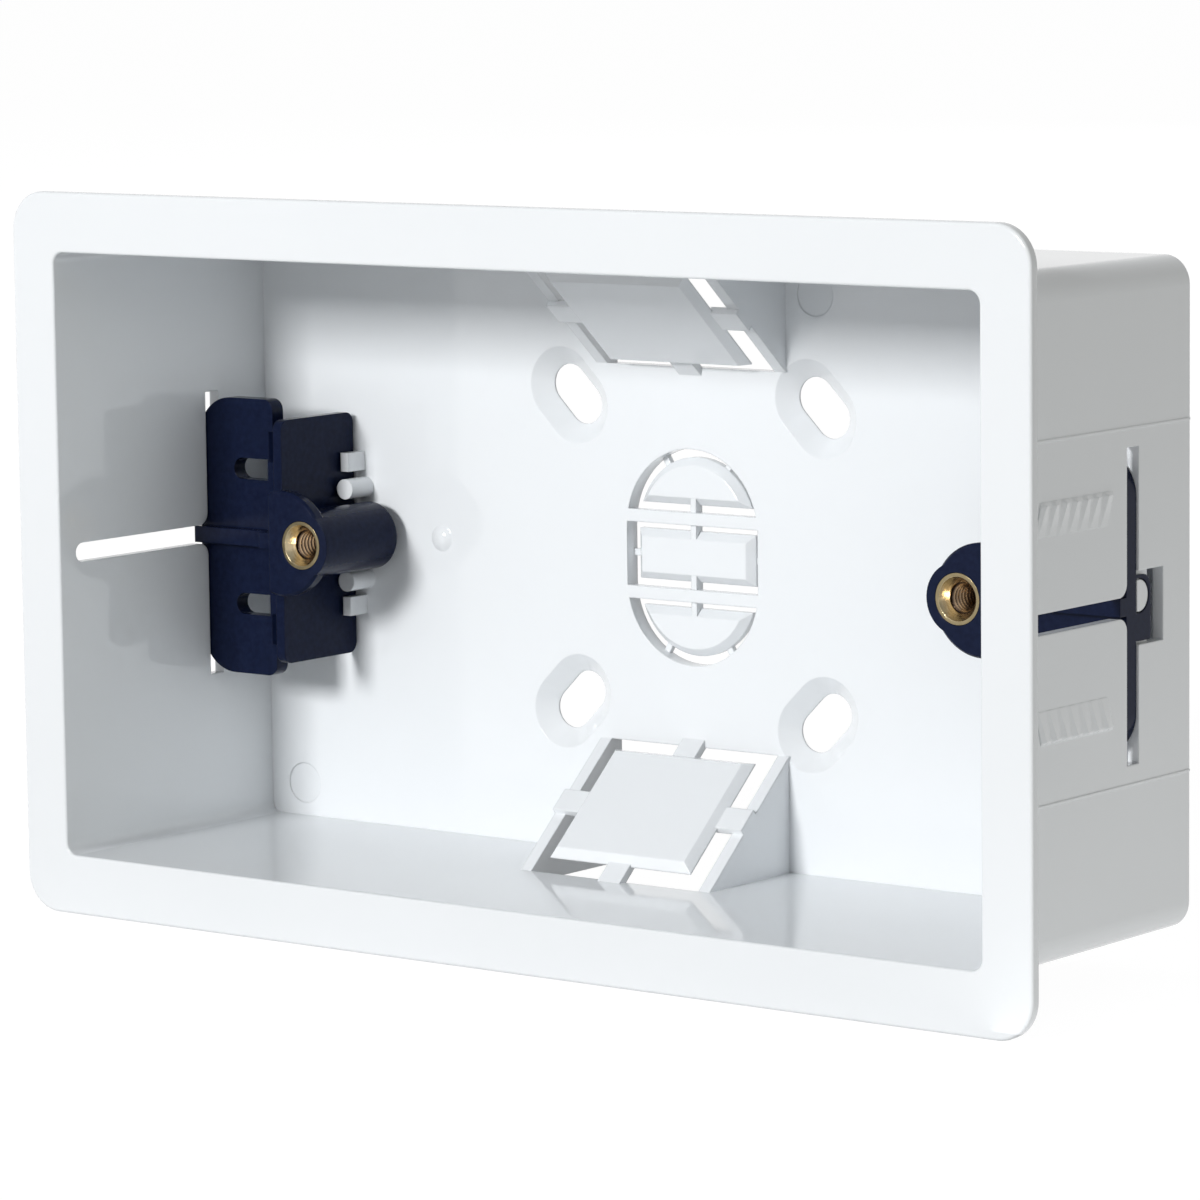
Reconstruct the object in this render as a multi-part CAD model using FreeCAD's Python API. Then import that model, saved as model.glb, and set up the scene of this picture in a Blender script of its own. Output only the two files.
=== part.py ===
import FreeCAD, Part
import math
import os

# Two-gang drywall back box with two push-out clamps, millimetres.
# X runs across the box, Y into the wall and Z up. The origin is the centre of the
# flange's rear face, which lies on the front of the plasterboard.

# Box behind the flange, outside sizes
box_width = 133.9
box_height = 74.9
box_depth = 38.6
side_wall = 1.4
back_wall = 2.0
box_corner_radius = 3.2
inside_corner_radius = 1.4
rear_edge_bevel = 0.3
mouth_edge_round = 0.3

# Flange: a rim round the box, which is 144 by 86.4 in all
flange_rim_side = 5.05
flange_rim_top = 5.75
flange_thickness = 1.2
flange_corner_radius = 4.6
flange_edge_round = 0.4

# Clamp slots in the side walls, the grip slot set back from the outside of the back wall
guide_slot_height = 2.3
guide_slot_start = 1.6
guide_slot_flare = 1.5
grip_slot_setback = 13.2

# Catch for the stored clamp: a notch behind the grip slot, crossed by a thin bridge that carries a peg
notch_depth = 5.2
notch_top = 3.8
notch_bottom = -4.35
catch_bridge_thickness = 0.45
catch_bridge_depth = 3.2
catch_peg_radius = 1.75
catch_peg_setback = 0.6
catch_peg_z = 1.0

# Witness lines that the mould's side cores leave above and below the slots
witness_line_z = 19.4
witness_line_height = 0.25
witness_line_rise = 0.08

# Ratchet ridges on the outside of the side walls, which fade out towards the middle
ridge_band_inner = 9.3
ridge_band_height = 3.7
ridge_pitch = 2.05
ridge_count = 7
ridge_rise_run = 0.6
ridge_height = 0.5
ridge_valley_height = 0.15
ridge_fade = 0.1
ridge_end_slope = 0.4
ridge_slant = 1.0
ridge_end_margin = 2.9

# Clamps: pushed out, they hold the plate screws at 120.6 centres, inset from the outside of the walls
screw_inset = 6.65
clamp_travel = 12.9
slide_clearance = 0.2
grip_plate_thickness = 2.0
grip_plate_height = 33.8
grip_plate_end_clearance = 0.5
grip_plate_inset = 0.2
grip_plate_gap = 0.9
grip_plate_corner_radius = 5.0
grip_plate_inner_radius = 1.4
grip_window_width = 5.4
grip_window_height = 2.6
grip_window_margin = 0.9
grip_window_offset = 8.3
tooth_depth = 1.0
guide_rib_clearance = 0.15
guide_rib_rise = 1.3
web_thickness = 1.3
web_height = 29.6
web_corner_radius = 1.3
web_rear_clearance = 0.4
boss_length = 14.4
boss_radius = 4.1
boss_rear_clearance = 0.6
boss_rear_bevel = 1.2
lobe_radius = 6.4
lobe_offset = 3.1
lobe_thickness = 1.5
lobe_edge_bevel = 0.3
catch_tab_thickness = 0.55
catch_tab_top = 3.3
catch_tab_bottom = -4.0
catch_tab_depth = 2.95
catch_tab_upper_radius = 1.6
catch_tab_lower_radius = 0.4

# Brass inserts for M3.5 plate screws, bored to the outside of the thread
insert_radius = 2.9
insert_length = 10.0
insert_fit = 0.05
thread_radius = 1.75
insert_mouth_radius = 2.5
insert_mouth_depth = 1.2
screw_relief_radius = 2.0
screw_relief_end = 1.6

# Posts on the back wall that hold the stored clamps
post_radius = 1.25
post_length = 4.0
fin_width = 1.2
fin_height = 2.3
fin_length = 3.2
post_gap = 0.3
fin_spacing = 0.8

# Countersunk fixing slots in the back wall
fixing_slot_spacing_x = 35.8
fixing_slot_spacing_z = 36.7
fixing_slot_width = 4.8
fixing_slot_length = 8.0
fixing_slot_countersink = 2.2
fixing_slot_land = 0.2
fixing_slot_angle = 45.0

# Centre knock-out in the back wall
knockout_width = 19.0
knockout_height = 25.6
knockout_bar_height = 1.5
knockout_bar_offset = 4.55
knockout_bar_thickness = 1.2
knockout_gap = 0.8
knockout_rim_gap = 1.05
knockout_bevel = 0.9
knockout_face_recess = 0.3
knockout_link_recess = 0.35
knockout_tab_width = 0.8
knockout_tab_thickness = 0.7
knockout_tab_angles = (59.0, 120.0)

# Sloped knock-outs in the corners where the back wall meets the top and bottom
slope_window_width = 24.3
slope_back_height = 22.4
slope_run = 15.8
slope_cheek = 1.6
slope_panel_gap = 1.95
slope_panel_lift = 0.5
slope_panel_rise = 0.95
slope_panel_base = 0.15
slope_tab_width = 3.2
slope_tab_rise = 0.7
slope_tab_thickness = 0.9
slope_tab_root = 1.2

# Gate mark and ejector pin marks on the back wall
gate_mark_radius = 1.6
gate_mark_height = 0.6
gate_mark_x = -37.7
pin_mark_radius = 2.5
pin_mark_depth = 0.15
pin_mark_centres = ((17.9, 31.5), (-60.3, -32.0))

# Overlap that lets neighbouring features fuse into one moulding
bite = 0.4

# Planes and lines that several features share
front_y = -flange_thickness
inner_back_y = box_depth - back_wall
outer_x = box_width / 2
inner_x = outer_x - side_wall
outer_z = box_height / 2
inner_z = outer_z - side_wall
flange_x = outer_x + flange_rim_side
flange_z = outer_z + flange_rim_top
grip_slot_start = box_depth - grip_slot_setback
grip_slot_width = grip_plate_thickness + 2 * slide_clearance
grip_slot_end = grip_slot_start + grip_slot_width
grip_slot_height = grip_plate_height + 2 * grip_plate_end_clearance
plate_front = grip_slot_start + slide_clearance
plate_rear = plate_front + grip_plate_thickness
insert_x = outer_x - screw_inset - clamp_travel
boss_rear = inner_back_y - boss_rear_clearance
boss_front = boss_rear - boss_length
web_outer_x = inner_x - slide_clearance - clamp_travel
web_inner_x = web_outer_x - web_thickness
web_front = boss_front + lobe_thickness
plate_inner_x = outer_x + grip_plate_gap - clamp_travel
plate_outer_x = outer_x - grip_plate_inset
ridge_band_outer = ridge_band_inner + ridge_band_height
post_z = boss_radius + post_gap + post_radius
fin_z = post_z + post_radius + fin_spacing + fin_height / 2

Vector = FreeCAD.Vector
ORIGIN = Vector(0, 0, 0)
ALONG_X = Vector(1, 0, 0)
ALONG_Y = Vector(0, 1, 0)
ALONG_Z = Vector(0, 0, 1)


def block(x0, x1, y0, y1, z0, z1):
    """A box between two corners."""
    return Part.makeBox(x1 - x0, y1 - y0, z1 - z0, Vector(x0, y0, z0))


def cylinder_y(radius, y0, y1, x, z):
    """A round bar along Y."""
    return Part.makeCylinder(radius, y1 - y0, Vector(x, y0, z), ALONG_Y)


def closed_wire(points):
    return Part.makePolygon(list(points) + [points[0]])


def prism(points, direction):
    """An outline of straight lines pushed along a direction."""
    return Part.Face(closed_wire(points)).extrude(direction)


def mirror_x(shape):
    return shape.mirror(ORIGIN, ALONG_X)


def mirror_z(shape):
    return shape.mirror(ORIGIN, ALONG_Z)


def turn_round(shape):
    """The same piece on the other side of the box, half a turn about Y."""
    turned = shape.copy()
    turned.rotate(ORIGIN, ALONG_Y, 180)
    return turned


def rounded_prism(x0, x1, z0, z1, radius, y0, y1):
    """A rectangle in the XZ plane with rounded corners, pushed along Y."""
    bar = block(x0, x1, y0, y1, z0, z1)
    corners = [edge for edge in bar.Edges if edge.BoundBox.YLength > (y1 - y0) / 2]
    return bar.makeFillet(radius, corners)


def edges_on_y(shape, y):
    """The edges that lie in one plane across Y."""
    return [edge for edge in shape.Edges if edge.BoundBox.YLength < 1e-6 and abs(edge.BoundBox.YMin - y) < 1e-6]


def obround(length, width, angle_deg, x, y, z):
    """A slot outline in the plane at y, its long side turned up from X by an angle."""
    radius = width / 2
    reach = length / 2 - radius
    turn = FreeCAD.Rotation(ALONG_Y, -angle_deg)

    def at(u, v):
        return Vector(x, y, z) + turn.multVec(Vector(u, 0, v))

    upper = Part.LineSegment(at(-reach, radius), at(reach, radius)).toShape()
    right = Part.Arc(at(reach, radius), at(reach + radius, 0), at(reach, -radius)).toShape()
    lower = Part.LineSegment(at(reach, -radius), at(-reach, -radius)).toShape()
    left = Part.Arc(at(-reach, -radius), at(-reach - radius, 0), at(-reach, radius)).toShape()
    return Part.Wire([upper, right, lower, left])


def loft(wires):
    return Part.makeLoft(wires, True, True)


def make_shell():
    """The flange and the open box behind it, in one moulding."""
    flange = rounded_prism(-flange_x, flange_x, -flange_z, flange_z, flange_corner_radius, front_y, 0)
    flange = flange.makeFillet(flange_edge_round, edges_on_y(flange, front_y))
    outside = rounded_prism(-outer_x, outer_x, -outer_z, outer_z, box_corner_radius,
                            -flange_thickness / 2, box_depth)
    outside = outside.makeChamfer(rear_edge_bevel, edges_on_y(outside, box_depth))
    cavity = rounded_prism(-inner_x, inner_x, -inner_z, inner_z, inside_corner_radius,
                           front_y - bite, inner_back_y)
    shell = flange.fuse(outside).cut(cavity)
    mouth = [edge for edge in edges_on_y(shell, front_y) if edge.BoundBox.XMax < inner_x + bite
             and edge.BoundBox.XMin > -inner_x - bite and abs(edge.CenterOfMass.z) < inner_z + bite]
    return shell.makeFillet(mouth_edge_round, mouth)


def make_clamp_slots():
    """The guide slot, the grip slot and the catch notch cut through the right wall."""
    x0 = inner_x - bite
    x1 = outer_x + bite + ridge_height
    half = guide_slot_height / 2
    guide = block(x0, x1, guide_slot_start + half, grip_slot_start + bite, -half, half)
    nose = Part.makeCylinder(half, x1 - x0, Vector(x0, guide_slot_start + half, 0), ALONG_X)
    grip = block(x0, x1, grip_slot_start, grip_slot_end, -grip_slot_height / 2, grip_slot_height / 2)
    notch = block(x0, x1, grip_slot_end - bite, plate_rear + notch_depth, notch_bottom, notch_top)
    flare_reach = half + guide_slot_flare
    flare = block(x0, x1, grip_slot_start - guide_slot_flare, grip_slot_start, -flare_reach, flare_reach)
    for side in (1, -1):
        centre = Vector(x0, grip_slot_start - guide_slot_flare, side * flare_reach)
        flare = flare.cut(Part.makeCylinder(guide_slot_flare, x1 - x0, centre, ALONG_X))
    return guide.fuse([nose, grip, notch, flare])


def make_catch():
    """The bridge across the right notch, and the peg on it that fits in the hole of the clamp's tab."""
    bridge = block(inner_x, inner_x + catch_bridge_thickness, grip_slot_end, grip_slot_end + catch_bridge_depth,
                   notch_bottom - bite, notch_top + bite)
    peg_start = Vector(inner_x, plate_rear + catch_peg_setback, catch_peg_z)
    peg = Part.makeCylinder(catch_peg_radius, plate_outer_x - inner_x, peg_start, ALONG_X)
    slot_side = block(inner_x - bite, outer_x + bite, grip_slot_start, grip_slot_end, notch_bottom, notch_top)
    return bridge.fuse(peg.cut(slot_side))


def ridge_outline(y, z, share):
    """One saw tooth across the right wall, steep towards the flange, at a share of its full height."""
    root = outer_x - bite / 2
    valley = outer_x + ridge_valley_height * share
    crest = outer_x + ridge_height * share
    end = y + ridge_pitch
    return closed_wire([Vector(root, y, z), Vector(valley, y, z), Vector(crest, y + ridge_rise_run, z),
                        Vector(valley, end, z), Vector(root, end, z)])


def make_ridges():
    """Two bands of slanted saw teeth on the outside of the right wall, and its witness lines."""
    line = block(outer_x - bite / 2, outer_x + witness_line_rise, 0, box_depth - rear_edge_bevel,
                 witness_line_z, witness_line_z + witness_line_height)
    upper = [line]
    first = grip_slot_start - ridge_end_margin - ridge_count * ridge_pitch
    for index in range(ridge_count):
        y = first + index * ridge_pitch
        inner = ridge_outline(y - ridge_slant, ridge_band_inner, ridge_fade)
        outer = ridge_outline(y, ridge_band_outer - ridge_end_slope, 1.0)
        end = ridge_outline(y, ridge_band_outer, ridge_fade)
        upper += [loft([inner, outer]), loft([outer, end])]
    return upper + [mirror_z(ridge) for ridge in upper]


def make_fixing_slots():
    """Four countersunk slots through the back wall, slanted towards the middle line."""
    slots = []
    land_y = box_depth - fixing_slot_land
    for side_x in (-1, 1):
        for side_z in (-1, 1):
            x = side_x * fixing_slot_spacing_x / 2
            z = side_z * fixing_slot_spacing_z / 2
            angle = -fixing_slot_angle * side_z
            wide = 2 * fixing_slot_countersink
            mouth = obround(fixing_slot_length + wide, fixing_slot_width + wide, angle, x, inner_back_y, z)
            neck = obround(fixing_slot_length, fixing_slot_width, angle, x, land_y, z)
            end = obround(fixing_slot_length, fixing_slot_width, angle, x, box_depth + bite, z)
            slots += [loft([mouth, neck]), loft([neck, end])]
    return slots


def knockout_segment(inset, flat_z, y):
    """The outline of the rounded panel above the upper bar."""
    radius = knockout_width / 2 - inset
    centre_z = (knockout_height - knockout_width) / 2
    half = math.sqrt(radius ** 2 - (flat_z - centre_z) ** 2)
    arc = Part.Arc(Vector(-half, y, flat_z), Vector(0, y, centre_z + radius), Vector(half, y, flat_z))
    flat = Part.LineSegment(Vector(half, y, flat_z), Vector(-half, y, flat_z))
    return Part.Wire([arc.toShape(), flat.toShape()])


def rectangle(half_x, half_z, y):
    return closed_wire([Vector(-half_x, y, -half_z), Vector(half_x, y, -half_z),
                        Vector(half_x, y, half_z), Vector(-half_x, y, half_z)])


def make_knockout_hole():
    outline = obround(knockout_height, knockout_width, 90.0, 0, inner_back_y - bite, 0)
    return Part.Face(outline).extrude(Vector(0, back_wall + 2 * bite, 0))


def make_knockout_pieces():
    """Two bars, three bevelled panels and the thin tabs that hold them until they are broken out."""
    half_bar = knockout_bar_height / 2
    half_width = knockout_width / 2
    bar_top = knockout_bar_offset + half_bar
    face_y = inner_back_y + knockout_face_recess
    base_y = face_y + knockout_bevel
    tab_y = box_depth - knockout_tab_thickness
    bar = block(-half_width - bite, half_width + bite, inner_back_y, inner_back_y + knockout_bar_thickness,
                knockout_bar_offset - half_bar, bar_top)
    base_flat = bar_top + knockout_gap
    face = knockout_segment(knockout_rim_gap + knockout_bevel, base_flat + knockout_bevel, face_y)
    base = knockout_segment(knockout_rim_gap, base_flat, base_y)
    rear = knockout_segment(knockout_rim_gap, base_flat, box_depth)
    segment = loft([face, base]).fuse(loft([base, rear]))
    block_z = knockout_bar_offset - half_bar - knockout_gap
    link = block(-knockout_tab_width / 2, knockout_tab_width / 2, inner_back_y + knockout_link_recess,
                 inner_back_y + knockout_bar_thickness + bite, block_z - knockout_bevel, base_flat + knockout_bevel)
    upper = [bar, segment, link]
    centre = Vector(0, 0, (knockout_height - knockout_width) / 2)
    for angle in knockout_tab_angles:
        tab = block(half_width - knockout_rim_gap - bite, half_width + bite, tab_y, box_depth,
                    -knockout_tab_width / 2, knockout_tab_width / 2)
        tab.rotate(ORIGIN, ALONG_Y, -angle)
        tab.translate(centre)
        upper.append(tab)
    block_x = half_width - knockout_rim_gap
    middle = loft([rectangle(block_x - knockout_bevel, block_z - knockout_bevel, face_y),
                   rectangle(block_x, block_z, base_y)])
    middle_base = block(-block_x, block_x, base_y, box_depth, -block_z, block_z)
    side_tab = block(-half_width - bite, half_width + bite, tab_y, box_depth,
                     -knockout_tab_width / 2, knockout_tab_width / 2)
    return upper + [mirror_z(piece) for piece in upper] + [middle, middle_base, side_tab]


# Lower sloped corner: it runs from the back wall down to the bottom wall
slope_top = Vector(0, inner_back_y, -slope_back_height)
slope_bottom = Vector(0, inner_back_y - slope_run, -inner_z)
slope_length = (slope_bottom - slope_top).Length
slope_down = (slope_bottom - slope_top) / slope_length
slope_inward = Vector(0, slope_down.z, -slope_down.y)


def on_slope(x, along, rise):
    """A point of the slope: across, down it from the back wall, and above it into the box."""
    return slope_top + slope_down * along + slope_inward * rise + Vector(x, 0, 0)


def slope_slab(x0, x1, start, end, low, high):
    """A slab that lies in the slope."""
    corners = [on_slope(x0, start, low), on_slope(x1, start, low), on_slope(x1, end, low), on_slope(x0, end, low)]
    return prism(corners, slope_inward * (high - low))


def make_slope_hole():
    """What the slope opens up behind it, out through the back and the bottom of the box."""
    half = slope_window_width / 2
    below = -outer_z - bite
    behind = box_depth + bite
    outline = [slope_top, slope_bottom, Vector(0, slope_bottom.y, below), Vector(0, behind, below),
               Vector(0, behind, slope_top.z)]
    return prism([point - Vector(half, 0, 0) for point in outline], Vector(slope_window_width, 0, 0))


def make_slope_pieces():
    """Two cheeks, and the bevelled break-out panel, held proud of them by a tab on each side."""
    half = slope_window_width / 2
    corner = [slope_top, slope_bottom, Vector(0, slope_bottom.y, -inner_z - bite),
              Vector(0, inner_back_y + bite, -inner_z - bite), Vector(0, inner_back_y + bite, slope_top.z)]
    cheek = prism([point + Vector(half, 0, 0) for point in corner], Vector(slope_cheek, 0, 0))
    panel_x = half - slope_panel_gap
    start = slope_panel_gap
    end = slope_length - slope_panel_gap
    lift = slope_panel_lift
    base = closed_wire([on_slope(-panel_x, start, lift), on_slope(panel_x, start, lift),
                        on_slope(panel_x, end, lift), on_slope(-panel_x, end, lift)])
    rise = slope_panel_rise
    top = lift + rise
    face = closed_wire([on_slope(-panel_x + rise, start + rise, top), on_slope(panel_x - rise, start + rise, top),
                        on_slope(panel_x - rise, end - rise, top), on_slope(-panel_x + rise, end - rise, top)])
    panel = slope_slab(-panel_x, panel_x, start, end, lift - slope_panel_base, lift).fuse(loft([base, face]))
    half_tab = slope_tab_width / 2
    root = slope_tab_root
    middle = slope_length / 2
    high = slope_tab_rise
    low = high - slope_tab_thickness
    tabs = [slope_slab(-half_tab, half_tab, -root, start + bite, low, high),
            slope_slab(-half_tab, half_tab, end - bite, slope_length + root, low, high),
            slope_slab(panel_x - bite, half + slope_cheek, middle - half_tab, middle + half_tab, low, high)]
    return [cheek, mirror_x(cheek), panel, mirror_x(tabs[2])] + tabs


def make_posts():
    """Round posts and fins on the back wall, beside the stored right clamp."""
    reach = web_inner_x - post_gap
    upper = [cylinder_y(post_radius, inner_back_y - post_length, inner_back_y + bite, reach - post_radius, post_z),
             block(reach - fin_width, reach, inner_back_y - fin_length, inner_back_y + bite,
                   fin_z - fin_height / 2, fin_z + fin_height / 2)]
    return upper + [mirror_z(post) for post in upper]


def make_gate_mark():
    """A low dome where the mould was filled."""
    radius = (gate_mark_radius ** 2 + gate_mark_height ** 2) / (2 * gate_mark_height)
    ball = Part.makeSphere(radius, Vector(gate_mark_x, inner_back_y + radius - gate_mark_height, 0))
    keep = block(gate_mark_x - radius, gate_mark_x + radius, inner_back_y - radius, inner_back_y + bite,
                 -radius, radius)
    return ball.common(keep)


def make_pin_marks():
    """Shallow round marks that the ejector pins leave."""
    return [cylinder_y(pin_mark_radius, inner_back_y - bite, inner_back_y + pin_mark_depth, x, z)
            for x, z in pin_mark_centres]


def make_box():
    """The whole white moulding."""
    slots = make_clamp_slots()
    slope_hole = make_slope_hole()
    cuts = [slots, turn_round(slots), make_knockout_hole(), slope_hole, mirror_z(slope_hole)]
    shell = make_shell().cut(cuts + make_fixing_slots() + make_pin_marks())
    ridges = make_ridges()
    posts = make_posts()
    slope = make_slope_pieces()
    catch = make_catch()
    added = ridges + posts
    added = added + [mirror_x(piece) for piece in added] + [catch, turn_round(catch)]
    added = added + slope + [mirror_z(piece) for piece in slope]
    added = added + make_knockout_pieces() + [make_gate_mark()]
    return shell.fuse(added).removeSplitter()


def plate_corners(plate, x0, x1):
    """The upright edges through the grip plate between two places along X."""
    return [edge for edge in plate.Edges if edge.BoundBox.YLength > grip_plate_thickness / 2
            and x0 < edge.CenterOfMass.x < x1]


def make_grip_plate():
    """The plate that is pushed out behind the plasterboard."""
    half = grip_plate_height / 2
    plate = block(plate_inner_x, plate_outer_x, plate_front, plate_rear, -half, half)
    middle_x = (plate_inner_x + plate_outer_x) / 2
    plate = plate.makeFillet(grip_plate_corner_radius, plate_corners(plate, middle_x, outer_x))
    plate = plate.makeFillet(grip_plate_inner_radius, plate_corners(plate, 0, middle_x))
    window_x = plate_inner_x + grip_window_margin
    window_half = grip_window_height / 2
    window_round_x = window_x + grip_window_width - window_half
    window = block(window_x, window_round_x, plate_front - bite, plate_rear + bite,
                   grip_window_offset - window_half, grip_window_offset + window_half)
    window = window.fuse(cylinder_y(window_half, plate_front - bite, plate_rear + bite,
                                    window_round_x, grip_window_offset))
    band = [Vector(plate_inner_x - bite, plate_front - bite, ridge_band_inner),
            Vector(plate_inner_x - bite, plate_rear + bite, ridge_band_inner),
            Vector(plate_inner_x + tooth_depth, plate_rear + bite, ridge_band_inner),
            Vector(plate_inner_x, (plate_front + plate_rear) / 2, ridge_band_inner),
            Vector(plate_inner_x + tooth_depth, plate_front - bite, ridge_band_inner)]
    tooth_gap = prism(band, Vector(0, 0, ridge_band_height))
    cuts = [window, tooth_gap]
    return plate.cut(cuts + [mirror_z(cut) for cut in cuts])


def make_catch_tab():
    """The pierced tab behind the grip plate, which the peg of the box holds."""
    x0 = plate_outer_x - catch_tab_thickness
    tab_end = plate_rear + catch_tab_depth
    tab = block(x0, plate_outer_x, plate_rear - bite, tab_end, catch_tab_bottom, catch_tab_top)
    corners = [edge for edge in tab.Edges if edge.BoundBox.XLength > catch_tab_thickness / 2
               and edge.CenterOfMass.y > tab_end - bite]
    tab = tab.makeFillet(catch_tab_upper_radius, [edge for edge in corners if edge.CenterOfMass.z > 0])
    corners = [edge for edge in tab.Edges if edge.BoundBox.XLength > catch_tab_thickness / 2
               and edge.CenterOfMass.y > tab_end - bite and edge.CenterOfMass.z < 0]
    tab = tab.makeFillet(catch_tab_lower_radius, corners)
    hole_start = Vector(x0 - bite, plate_rear + catch_peg_setback, catch_peg_z)
    hole_radius = catch_peg_radius + slide_clearance
    hole = Part.makeCylinder(hole_radius, catch_tab_thickness + 2 * bite, hole_start, ALONG_X)
    return tab.cut(hole)


def make_clamp():
    """The right clamp, stored: grip plate, neck, inner web and the boss for the insert."""
    rib = guide_slot_height / 2 - guide_rib_clearance
    web_rear = inner_back_y - web_rear_clearance
    web = block(web_inner_x, web_outer_x, web_front - bite, web_rear, -web_height / 2, web_height / 2)
    corners = [edge for edge in web.Edges if edge.BoundBox.XLength > web_thickness / 2]
    web = web.makeFillet(web_corner_radius, corners)
    boss = cylinder_y(boss_radius, boss_front, boss_rear, insert_x, 0)
    boss = boss.makeChamfer(boss_rear_bevel, edges_on_y(boss, boss_rear))
    lobe = cylinder_y(lobe_radius, boss_front, web_front, insert_x + lobe_offset, 0)
    lobe = lobe.makeChamfer(lobe_edge_bevel, edges_on_y(lobe, boss_front))
    beyond = block(web_outer_x, outer_x, front_y, box_depth, -outer_z, outer_z)
    neck = block(web_outer_x - bite, plate_inner_x + bite, web_front, plate_rear, -rib, rib)
    guide_rib = block(plate_inner_x, plate_outer_x, plate_front - guide_rib_rise, plate_front + bite, -rib, rib)
    clamp = boss.fuse([lobe.cut(beyond), web, neck, guide_rib, make_grip_plate(), make_catch_tab()])
    seat_end = boss_front + insert_length
    seat = cylinder_y(insert_radius + insert_fit, boss_front - bite, seat_end, insert_x, 0)
    relief = cylinder_y(screw_relief_radius, seat_end - bite, boss_rear - screw_relief_end, insert_x, 0)
    return clamp.cut([seat, relief]).removeSplitter()


def make_insert():
    """The right brass insert, turned about its screw axis."""
    end = boss_front + insert_length
    mouth_end = boss_front + insert_mouth_depth
    outline = [(insert_mouth_radius, boss_front), (insert_radius, boss_front), (insert_radius, end),
               (thread_radius, end), (thread_radius, mouth_end)]
    points = [Vector(insert_x + radius, y, 0) for radius, y in outline]
    return Part.Face(closed_wire(points)).revolve(Vector(insert_x, 0, 0), ALONG_Y, 360)


os.makedirs("parts", exist_ok=True)
right_clamp = make_clamp()
right_insert = make_insert()
nodes = {
    "back_box": make_box(),
    "right_clamp": right_clamp,
    "left_clamp": turn_round(right_clamp),
    "right_brass_insert": right_insert,
    "left_brass_insert": turn_round(right_insert),
}
for name, shape in nodes.items():
    print(name, "solids", len(shape.Solids), "volume", round(shape.Volume, 1), "valid", shape.isValid())
    shape.exportStep("parts/" + name + ".step")
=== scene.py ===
# %% [markdown]
# A drywall back box in white plastic, with two black clamps and their brass screw inserts.
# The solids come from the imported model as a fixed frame, in metres: X across the box, Y into the
# wall, Z up. This lesson gives every solid its finish, winds the screw threads that the solids leave
# plain, and sets the camera and the light.

# %% Load the frame
from math import cos, pi, radians, sin

import bmesh
import bpy
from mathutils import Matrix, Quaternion, Vector


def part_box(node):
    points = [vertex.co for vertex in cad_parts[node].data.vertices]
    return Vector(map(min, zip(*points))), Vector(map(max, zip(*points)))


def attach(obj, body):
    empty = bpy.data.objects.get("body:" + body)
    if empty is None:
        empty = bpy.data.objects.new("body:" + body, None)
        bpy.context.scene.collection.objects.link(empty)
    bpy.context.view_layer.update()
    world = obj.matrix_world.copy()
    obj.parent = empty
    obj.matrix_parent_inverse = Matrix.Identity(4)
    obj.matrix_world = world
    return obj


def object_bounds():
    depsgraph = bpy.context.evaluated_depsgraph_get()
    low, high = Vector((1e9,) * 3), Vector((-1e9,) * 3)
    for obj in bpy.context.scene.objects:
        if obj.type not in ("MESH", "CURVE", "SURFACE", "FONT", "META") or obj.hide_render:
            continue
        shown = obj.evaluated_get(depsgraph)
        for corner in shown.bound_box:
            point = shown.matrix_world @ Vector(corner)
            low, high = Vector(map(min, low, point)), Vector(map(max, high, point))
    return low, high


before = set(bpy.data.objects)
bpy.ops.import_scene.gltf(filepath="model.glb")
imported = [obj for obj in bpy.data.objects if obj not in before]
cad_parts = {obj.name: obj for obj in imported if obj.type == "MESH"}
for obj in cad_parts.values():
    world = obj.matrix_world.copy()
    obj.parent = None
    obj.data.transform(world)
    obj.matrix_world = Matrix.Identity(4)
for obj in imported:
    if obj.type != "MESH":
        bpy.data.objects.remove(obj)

MM = 0.001
cad_box = [list(corner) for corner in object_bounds()]
print("solids:", sorted(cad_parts))
print("box of the solids in mm:", [[round(value / MM, 1) for value in corner] for corner in cad_box])

# %% [markdown]
# The photograph was taken from the right, a little above the box, with a long lens: parallel edges
# hardly close in. A narrow view from well back keeps those proportions, so the camera is placed by its
# angles and its distance from a point near the middle of the flange. It is turned slightly about its
# own axis, as a hand-held camera is.

# %% Camera
VIEW_AZIMUTH = radians(37.55)
VIEW_ELEVATION = radians(7.31)
VIEW_ROLL = radians(-0.70)
VIEW_DISTANCE = 627.1 * MM
VIEW_TARGET = Vector((9.75, 6.14, -0.98)) * MM
LENS_MM = 168.2
SENSOR_MM = 36.0
NEAREST_SEEN = 10 * MM


def place_camera():
    """A camera that looks at the target from its azimuth, elevation and distance."""
    data = bpy.data.cameras.new("camera")
    data.lens = LENS_MM
    data.sensor_width = SENSOR_MM
    data.clip_start = NEAREST_SEEN
    camera = bpy.data.objects.new("camera", data)
    level = cos(VIEW_ELEVATION)
    forward = Vector((-sin(VIEW_AZIMUTH) * level, cos(VIEW_AZIMUTH) * level, -sin(VIEW_ELEVATION)))
    camera.location = VIEW_TARGET - forward * VIEW_DISTANCE
    aim = forward.to_track_quat("-Z", "Y") @ Quaternion((0, 0, 1), VIEW_ROLL)
    camera.rotation_euler = aim.to_euler()
    bpy.context.collection.objects.link(camera)
    return camera


camera = place_camera()
bpy.context.scene.camera = camera
print("camera at mm:", [round(value / MM, 1) for value in camera.location])

# %% [markdown]
# Every finish below is a node tree on the Principled shader. Small helpers add nodes and join them,
# so that each material reads as a short list of steps. All patterns read Object coordinates: the
# solids sit at the origin unturned, so a pattern keeps its real size on them. A noise pattern seldom
# goes under 0.2 or over 0.8, so the helpers spread what lies between.

# %% Node helpers
PATTERN_LOW = 0.2
PATTERN_HIGH = 0.8
EDGE_SAMPLES = 6


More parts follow.
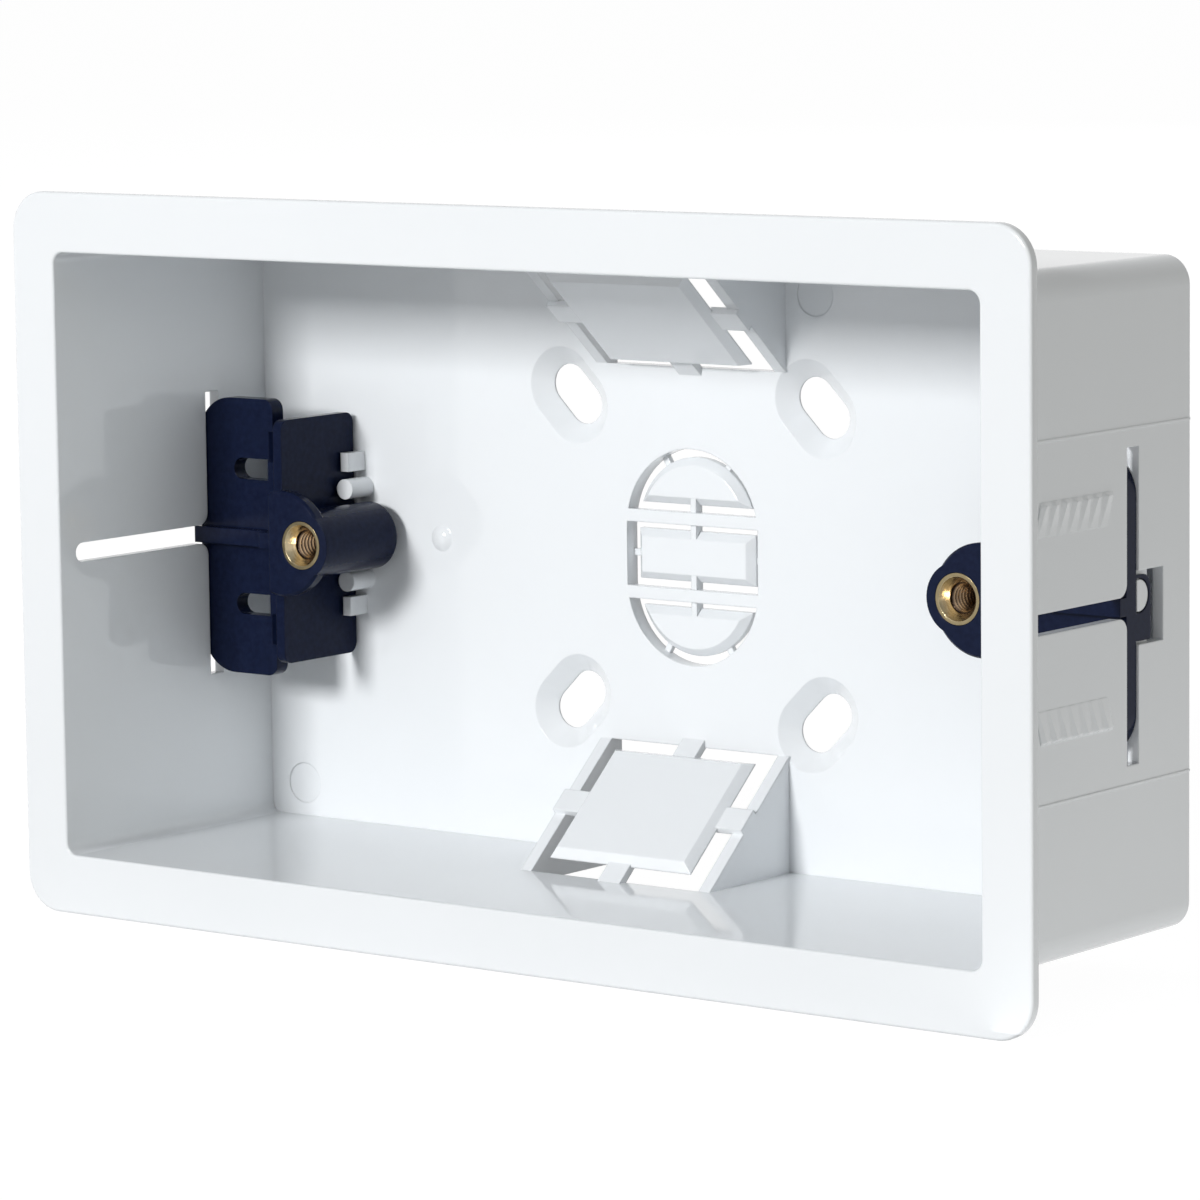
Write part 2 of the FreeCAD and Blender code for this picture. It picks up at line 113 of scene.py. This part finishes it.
def start_material(name):
    """A material with a Principled shader, and its object coordinates."""
    material = bpy.data.materials.new(name)
    material.use_nodes = True
    tree = material.node_tree
    shader = tree.nodes["Principled BSDF"]
    place = tree.nodes.new("ShaderNodeTexCoord").outputs["Object"]
    return material, tree, shader, place


def add_noise(tree, place, per_metre, detail):
    """A noise pattern with that many lumps to the metre."""
    noise = tree.nodes.new("ShaderNodeTexNoise")
    noise.inputs["Scale"].default_value = per_metre
    noise.inputs["Detail"].default_value = detail
    tree.links.new(place, noise.inputs["Vector"])
    return noise.outputs["Fac"]


def add_range(tree, value, low, high, start=PATTERN_LOW, end=PATTERN_HIGH):
    """Spreads a pattern between two values, from where it starts to where it ends."""
    spread = tree.nodes.new("ShaderNodeMapRange")
    spread.inputs["From Min"].default_value = start
    spread.inputs["From Max"].default_value = end
    spread.inputs["To Min"].default_value = low
    spread.inputs["To Max"].default_value = high
    tree.links.new(value, spread.inputs["Value"])
    return spread.outputs["Result"]


def add_tint(tree, value, dark, light):
    """A colour that runs between two shades as a pattern does."""
    ramp = tree.nodes.new("ShaderNodeValToRGB")
    ramp.color_ramp.elements[0].position = PATTERN_LOW
    ramp.color_ramp.elements[0].color = (*dark, 1)
    ramp.color_ramp.elements[1].position = PATTERN_HIGH
    ramp.color_ramp.elements[1].color = (*light, 1)
    tree.links.new(value, ramp.inputs["Fac"])
    return ramp.outputs["Color"]


def add_bump(tree, height, depth, normal):
    """Raises a pattern by a real depth in metres, on top of another normal."""
    bump = tree.nodes.new("ShaderNodeBump")
    bump.inputs["Strength"].default_value = 1.0
    bump.inputs["Distance"].default_value = depth
    tree.links.new(height, bump.inputs["Height"])
    tree.links.new(normal, bump.inputs["Normal"])
    return bump.outputs["Normal"]


def soft_edges(tree, radius):
    """Shades sharp edges as if they had a small moulded radius."""
    bevel = tree.nodes.new("ShaderNodeBevel")
    bevel.samples = EDGE_SAMPLES
    bevel.inputs["Radius"].default_value = radius
    return bevel.outputs["Normal"]


# %% [markdown]
# The box is moulded in one shot of white plastic. The mould was polished, so the walls are smooth and
# mirror a little of the sloped panels. A moulding is never perfectly flat, though: a slow waviness bends
# the reflections, and a very fine grain takes the edge off them. Both are bumps of a few micrometres,
# and the colour and the gloss vary a little with another slow pattern.

# %% White moulding
PLASTIC_IOR = 1.5
WHITE_SHADES = ((0.836, 0.862, 0.884), (0.856, 0.882, 0.904))
WHITE_ROUGHNESS = (0.05, 0.08)
WHITE_FLOW_PER_METRE = 30.0
WHITE_WAVES_PER_METRE = 90.0
WHITE_WAVE_DEPTH = 0.008 * MM
WHITE_GRAIN_PER_METRE = 2600.0
WHITE_GRAIN_DEPTH = 0.001 * MM
WHITE_EDGE_RADIUS = 0.25 * MM


def white_moulding():
    """Polished white plastic, a little wavy and very finely grained."""
    material, tree, shader, place = start_material("polished_white_plastic")
    flow = add_noise(tree, place, WHITE_FLOW_PER_METRE, detail=2.0)
    tree.links.new(add_tint(tree, flow, *WHITE_SHADES), shader.inputs["Base Color"])
    tree.links.new(add_range(tree, flow, *WHITE_ROUGHNESS), shader.inputs["Roughness"])
    waves = add_noise(tree, place, WHITE_WAVES_PER_METRE, detail=1.0)
    wavy = add_bump(tree, waves, WHITE_WAVE_DEPTH, soft_edges(tree, WHITE_EDGE_RADIUS))
    grain = add_noise(tree, place, WHITE_GRAIN_PER_METRE, detail=2.0)
    tree.links.new(add_bump(tree, grain, WHITE_GRAIN_DEPTH, wavy), shader.inputs["Normal"])
    shader.inputs["IOR"].default_value = PLASTIC_IOR
    return material


white = white_moulding()
print("white finish:", white.name, "with", len(white.node_tree.nodes), "nodes")

# %% [markdown]
# The clamps are moulded in a tough black plastic. It is not a neutral black: the photograph shows a cold,
# blue tone, in its reflections too. Its shine is weak but crisp, so the flat faces stay dark and only the
# edges catch a thin line of light. A fine mottle varies both the colour and the gloss.

# %% Black moulding
BLACK_SHADES = ((0.004, 0.007, 0.025), (0.008, 0.013, 0.038))
BLACK_ROUGHNESS = (0.14, 0.22)
BLACK_SHINE = 0.10
BLACK_SHINE_TINT = (0.80, 0.86, 1.0, 1)
BLACK_MOTTLE_PER_METRE = 1500.0
BLACK_GRAIN_PER_METRE = 1800.0
BLACK_GRAIN_DEPTH = 0.002 * MM
BLACK_EDGE_RADIUS = 0.2 * MM


def black_moulding():
    """Blue-black plastic with a weak shine and a fine mottle."""
    material, tree, shader, place = start_material("tough_black_plastic")
    mottle = add_noise(tree, place, BLACK_MOTTLE_PER_METRE, detail=3.0)
    tree.links.new(add_tint(tree, mottle, *BLACK_SHADES), shader.inputs["Base Color"])
    tree.links.new(add_range(tree, mottle, *BLACK_ROUGHNESS), shader.inputs["Roughness"])
    grain = add_noise(tree, place, BLACK_GRAIN_PER_METRE, detail=3.0)
    grained = add_bump(tree, grain, BLACK_GRAIN_DEPTH, soft_edges(tree, BLACK_EDGE_RADIUS))
    tree.links.new(grained, shader.inputs["Normal"])
    shader.inputs["IOR"].default_value = PLASTIC_IOR
    shader.inputs["Specular IOR Level"].default_value = BLACK_SHINE
    shader.inputs["Specular Tint"].default_value = BLACK_SHINE_TINT
    return material


black = black_moulding()
print("black finish:", black.name, "with", len(black.node_tree.nodes), "nodes")

# %% [markdown]
# The inserts are turned from brass bar. Their colour is a ramp over the distance from the screw axis, which
# runs along Y, and it paints light and shade in rings: the rim is painted darker as painted shade, the
# mouth is plain pale brass, the edge of the bore has a painted highlight, and in the bore the crests of the
# thread have painted highlights above valleys painted near black as painted shade. A Mapping node centres
# the pattern on the axis and flattens it. Turning also leaves fine rings, from a wave pattern. The ramp's
# rows below run outwards, from the crests of the thread to the rim.

# %% Brass rings of painted light and shade
# Painted light and shade by radius: a painted highlight on the thread's crests, painted shade in its
# valleys and on the bore wall, a painted highlight at the bore's edge, plain brass on the mouth, and
# painted shade on the rim.
BRASS_PAINTED_LIGHT_AND_SHADE_RINGS = (
    (1.45 * MM, (0.66, 0.47, 0.30)),
    (1.68 * MM, (0.06, 0.04, 0.03)),
    (1.76 * MM, (0.06, 0.04, 0.03)),
    (1.80 * MM, (0.92, 0.76, 0.50)),
    (2.00 * MM, (0.66, 0.54, 0.35)),
    (2.48 * MM, (0.60, 0.50, 0.32)),
    (2.52 * MM, (0.33, 0.27, 0.16)),
)
BRASS_RADIUS_MAX = 3.0 * MM
TURNING_SCALE = 1600.0
TURNING_DISTORTION = 0.6
TURNING_DETAIL = 2.0


def centre_on_axis(tree, place, axis_x):
    """Places seen from a screw axis along Y, with the way along the axis flattened."""
    centre = tree.nodes.new("ShaderNodeMapping")
    centre.inputs["Location"].default_value = (-axis_x, 0, 0)
    centre.inputs["Scale"].default_value = (1, 0, 1)
    tree.links.new(place, centre.inputs["Vector"])
    return centre.outputs["Vector"]


def add_painted_light_rings(tree, across):
    """The brass colours by the distance from the axis, with painted highlights and painted shade in rings.
    """
    radius = tree.nodes.new("ShaderNodeVectorMath")
    radius.operation = "LENGTH"
    tree.links.new(across, radius.inputs[0])
    share = add_range(tree, radius.outputs["Value"], 0.0, 1.0, start=0.0, end=BRASS_RADIUS_MAX)
    ramp = tree.nodes.new("ShaderNodeValToRGB")
    stops = ramp.color_ramp.elements
    while len(stops) < len(BRASS_PAINTED_LIGHT_AND_SHADE_RINGS):
        stops.new(1.0)
    for stop, (reach, colour) in zip(stops, BRASS_PAINTED_LIGHT_AND_SHADE_RINGS):
        stop.position = reach / BRASS_RADIUS_MAX
        stop.color = (*colour, 1)
    tree.links.new(share, ramp.inputs["Fac"])
    return ramp.outputs["Color"]


def add_turning(tree, across):
    """The fine rings that a lathe leaves."""
    turning = tree.nodes.new("ShaderNodeTexWave")
    turning.wave_type = "RINGS"
    turning.rings_direction = "Y"
    turning.inputs["Scale"].default_value = TURNING_SCALE
    turning.inputs["Distortion"].default_value = TURNING_DISTORTION
    turning.inputs["Detail"].default_value = TURNING_DETAIL
    tree.links.new(across, turning.inputs["Vector"])
    return turning.outputs["Fac"]


print("brass rings out to mm:", [round(reach / MM, 2) for reach, colour in BRASS_PAINTED_LIGHT_AND_SHADE_RINGS])

# %% [markdown]
# Brass doesn't stay even, so a fine stain darkens the rings here and there, and dulls the shine with them.
# The two inserts stand on different axes, so each has a brass of its own, centred on the middle of its box.

# %% Brass
SIDES = ("left", "right")
STAIN_PER_METRE = 700.0
STAIN_SHADES = ((0.76, 0.74, 0.70), (1.0, 1.0, 1.0))
BRASS_ROUGHNESS = (0.14, 0.28)
TURNING_DEPTH = 0.002 * MM
BRASS_EDGE_RADIUS = 0.1 * MM
# A Mix node has separate sockets for each type of data, told apart only by number. These are for colours.
MIX_COLOUR_A = 6
MIX_COLOUR_B = 7
MIX_COLOUR_RESULT = 2


def add_shading(tree, colour, shade):
    """A colour multiplied by another."""
    mix = tree.nodes.new("ShaderNodeMix")
    mix.data_type = "RGBA"
    mix.blend_type = "MULTIPLY"
    mix.inputs["Factor"].default_value = 1.0
    tree.links.new(colour, mix.inputs[MIX_COLOUR_A])
    tree.links.new(shade, mix.inputs[MIX_COLOUR_B])
    return mix.outputs[MIX_COLOUR_RESULT]


def turned_brass_with_painted_rings(name, axis_x):
    """Brass with painted highlights and painted shade in rings round one screw axis."""
    material, tree, shader, place = start_material(name)
    across = centre_on_axis(tree, place, axis_x)
    stain = add_noise(tree, place, STAIN_PER_METRE, detail=4.0)
    shade = add_tint(tree, stain, *STAIN_SHADES)
    tree.links.new(add_shading(tree, add_painted_light_rings(tree, across), shade), shader.inputs["Base Color"])
    tree.links.new(add_range(tree, stain, *BRASS_ROUGHNESS), shader.inputs["Roughness"])
    edges = soft_edges(tree, BRASS_EDGE_RADIUS)
    turned = add_bump(tree, add_turning(tree, across), TURNING_DEPTH, edges)
    tree.links.new(turned, shader.inputs["Normal"])
    shader.inputs["Metallic"].default_value = 1.0
    return material


def middle_x(node):
    """The middle of a solid's box, across the back box."""
    low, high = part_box(node)
    return (low[0] + high[0]) / 2


screw_axis_x = {side: middle_x(side + "_brass_insert") for side in SIDES}
brass = {side: turned_brass_with_painted_rings(side + "_brass", screw_axis_x[side]) for side in SIDES}
print("screw axes at x mm:", {side: round(x / MM, 2) for side, x in screw_axis_x.items()})

# %% [markdown]
# A solid that already has the right shape keeps its mesh, and only the material in its slot is changed.
# White goes on the box, black on the clamps, and each insert takes the brass that is centred on it.


# %% Dress the solids
def dress(thing, material):
    """Puts one finish on a whole piece."""
    thing.data.materials.clear()
    thing.data.materials.append(material)


dress(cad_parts["back_box"], white)
for side in SIDES:
    dress(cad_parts[side + "_clamp"], black)
    dress(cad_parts[side + "_brass_insert"], brass[side])
print("dressed:", [(name, node.data.materials[0].name) for name, node in sorted(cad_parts.items())])

# %% [markdown]
# The solids bore each insert to the outside of its M3.5 thread. The thread itself is a ridge that winds
# up the bore: one triangle, its base just inside the brass, is spun about the screw axis and moved along
# it a little at each step. Both inserts take the same right-handed screw, so neither thread is mirrored.

# %% Threads
INSERT_MOUTH_DEPTH = 1.2 * MM
THREAD_OUTSIDE = 1.76 * MM
THREAD_INSIDE = 1.45 * MM
THREAD_PITCH = 0.6 * MM
THREAD_FLANK = 0.27 * MM
THREAD_TURNS = 13
STEPS_PER_TURN = 32
MERGE_DISTANCE = 0.001 * MM


def wind_thread(side):
    """A helical ridge in the bore of one insert."""
    axis_x = screw_axis_x[side]
    mouth_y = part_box(side + "_brass_insert")[0][1]
    start_y = mouth_y + INSERT_MOUTH_DEPTH + THREAD_FLANK
    mesh = bpy.data.meshes.new(side + "_thread")
    work = bmesh.new()
    corners = [(THREAD_OUTSIDE, -THREAD_FLANK), (THREAD_INSIDE, 0), (THREAD_OUTSIDE, THREAD_FLANK)]
    face = work.faces.new([work.verts.new((axis_x + radius, start_y + y, 0)) for radius, y in corners])
    section = [face] + list(face.edges) + list(face.verts)
    bmesh.ops.spin(work, geom=section, cent=(axis_x, 0, 0), axis=(0, 1, 0),
                   dvec=(0, THREAD_PITCH / STEPS_PER_TURN, 0), angle=2 * pi * THREAD_TURNS,
                   steps=THREAD_TURNS * STEPS_PER_TURN)
    bmesh.ops.remove_doubles(work, verts=work.verts, dist=MERGE_DISTANCE)
    bmesh.ops.recalc_face_normals(work, faces=work.faces)
    work.to_mesh(mesh)
    work.free()
    thread = bpy.data.objects.new(side + "_thread", mesh)
    bpy.context.collection.objects.link(thread)
    # The brass paints a highlight on the thread's crests and painted shade in its valleys.
    dress(thread, brass[side])
    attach(thread, side + "_clamp_slide")
    return thread


threads = [wind_thread(side) for side in SIDES]
print("threads:", [(thread.name, len(thread.data.polygons)) for thread in threads])

# %% [markdown]
# The photograph has a plain white background. A wide pale floor under the flange gives the box
# something to stand on. Rays from the camera see it mostly glowing, so it goes white, and the share
# that doesn't glow still takes the soft shadow of the box. A white floor would throw so much light up
# into the box that the shade under its top would be lost, so the paint itself is a light grey.

# %% Floor
FLOOR_SIZE = 12.0
FLOOR_Z = cad_box[0][2]
FLOOR_PAINT = 0.60
FLOOR_GLOW_SHARE = 0.78
FLOOR_GLOW = 1.22


def seen_rays(tree):
    """One for rays from the camera and for mirrored or refracted rays, zero for the rest."""
    rays = tree.nodes.new("ShaderNodeLightPath")
    seen = rays.outputs["Is Camera Ray"]
    for kind in ("Is Glossy Ray", "Is Transmission Ray"):
        either = tree.nodes.new("ShaderNodeMath")
        either.operation = "MAXIMUM"
        tree.links.new(seen, either.inputs[0])
        tree.links.new(rays.outputs[kind], either.inputs[1])
        seen = either.outputs[0]
    return seen


def floor_material():
    """Grey paint that glows white where it is seen."""
    material = bpy.data.materials.new("floor")
    material.use_nodes = True
    tree = material.node_tree
    tree.nodes.clear()
    paint = tree.nodes.new("ShaderNodeBsdfDiffuse")
    paint.inputs["Color"].default_value = (FLOOR_PAINT, FLOOR_PAINT, FLOOR_PAINT, 1)
    glow = tree.nodes.new("ShaderNodeEmission")
    glow.inputs["Strength"].default_value = FLOOR_GLOW
    share = tree.nodes.new("ShaderNodeMath")
    share.operation = "MULTIPLY"
    share.inputs[1].default_value = FLOOR_GLOW_SHARE
    tree.links.new(seen_rays(tree), share.inputs[0])
    mix = tree.nodes.new("ShaderNodeMixShader")
    tree.links.new(share.outputs[0], mix.inputs["Fac"])
    tree.links.new(paint.outputs["BSDF"], mix.inputs[1])
    tree.links.new(glow.outputs["Emission"], mix.inputs[2])
    output = tree.nodes.new("ShaderNodeOutputMaterial")
    tree.links.new(mix.outputs["Shader"], output.inputs["Surface"])
    return material


def make_floor():
    """A wide flat square just under the box, which isn't part of the object."""
    mesh = bpy.data.meshes.new("floor")
    work = bmesh.new()
    bmesh.ops.create_grid(work, x_segments=1, y_segments=1, size=FLOOR_SIZE / 2)
    bmesh.ops.translate(work, verts=work.verts, vec=(0, 0, FLOOR_Z))
    work.to_mesh(mesh)
    work.free()
    floor = bpy.data.objects.new("floor", mesh)
    bpy.context.collection.objects.link(floor)
    dress(floor, floor_material())


make_floor()
print("floor at z mm:", round(FLOOR_Z / MM, 1))

# %% [markdown]
# The light in the photograph comes from the front, above and a little to the left: the flange and the
# back wall are near white, and the back wall darkens under the top of the flange. A soft lamp stands
# there, small enough to keep that shade. The walls that face right are mid grey, and brighter lower down
# and at the mouth. A dim, slightly warm lamp far to the right reaches the mouth, and a card that lies
# beside the box throws some light up at the outer wall. A lamp behind the box shows the rear as the same
# white plastic, and from the front almost none of its light is seen. Only the key lamp may be mirrored in
# the plastic and the brass.

# %% Lamps
KEY_PLACE = Vector((-0.22, -1.62, 0.53))
KEY_SIZE = 0.36
KEY_POWER = 22.2
SIDE_PLACE = Vector((1.4, -0.2, 0.12))
SIDE_SIZE = 0.5
SIDE_POWER = 1.6
SIDE_COLOUR = (1.0, 0.98, 0.82)
CARD_PLACE = Vector((0.147, 0.06, FLOOR_Z + 1 * MM))
CARD_SIZE = 0.16
CARD_POWER = 0.035
BACK_PLACE = Vector((-0.3, 2.0, 0.25))
BACK_SIZE = 0.6
BACK_POWER = 11.0


def add_lamp(name, place, direction, size, power):
    """A square soft lamp that shines in a direction."""
    data = bpy.data.lights.new(name, "AREA")
    data.size = size
    data.energy = power
    lamp = bpy.data.objects.new(name, data)
    lamp.location = place
    lamp.rotation_euler = direction.to_track_quat("-Z", "Y").to_euler()
    bpy.context.collection.objects.link(lamp)
    return lamp


key_lamp = add_lamp("key_lamp", KEY_PLACE, VIEW_TARGET - KEY_PLACE, KEY_SIZE, KEY_POWER)
side_lamp = add_lamp("side_lamp", SIDE_PLACE, VIEW_TARGET - SIDE_PLACE, SIDE_SIZE, SIDE_POWER)
side_lamp.data.color = SIDE_COLOUR
card_lamp = add_lamp("card_lamp", CARD_PLACE, Vector((0, 0, 1)), CARD_SIZE, CARD_POWER)
back_lamp = add_lamp("back_lamp", BACK_PLACE, VIEW_TARGET - BACK_PLACE, BACK_SIZE, BACK_POWER)
for lamp in (side_lamp, card_lamp, back_lamp):
    lamp.visible_camera = False
    lamp.visible_glossy = False
lamps = (key_lamp, side_lamp, card_lamp, back_lamp)
print("lamps in W:", [(lamp.name, round(lamp.data.energy, 3)) for lamp in lamps])

# %% [markdown]
# An even, pale world fills the shadows. It is white where the camera or a reflection sees it, for the
# background, and dimmer where it only gives light. The Standard view shows the colours as they are written.

# %% World
WORLD_FILL = 0.27
WORLD_SEEN = 1.0


def light_world():
    """White where it is seen or mirrored, and dimmer where it only gives light."""
    world = bpy.data.worlds.new("studio")
    world.use_nodes = True
    tree = world.node_tree
    backdrop = tree.nodes["Background"]
    backdrop.inputs["Color"].default_value = (1, 1, 1, 1)
    level = tree.nodes.new("ShaderNodeMapRange")
    level.inputs["To Min"].default_value = WORLD_FILL
    level.inputs["To Max"].default_value = WORLD_SEEN
    tree.links.new(seen_rays(tree), level.inputs["Value"])
    tree.links.new(level.outputs["Result"], backdrop.inputs["Strength"])
    bpy.context.scene.world = world


light_world()
bpy.context.scene.view_settings.view_transform = "Standard"
print("world:", bpy.context.scene.world.name, "with a fill of", WORLD_FILL)
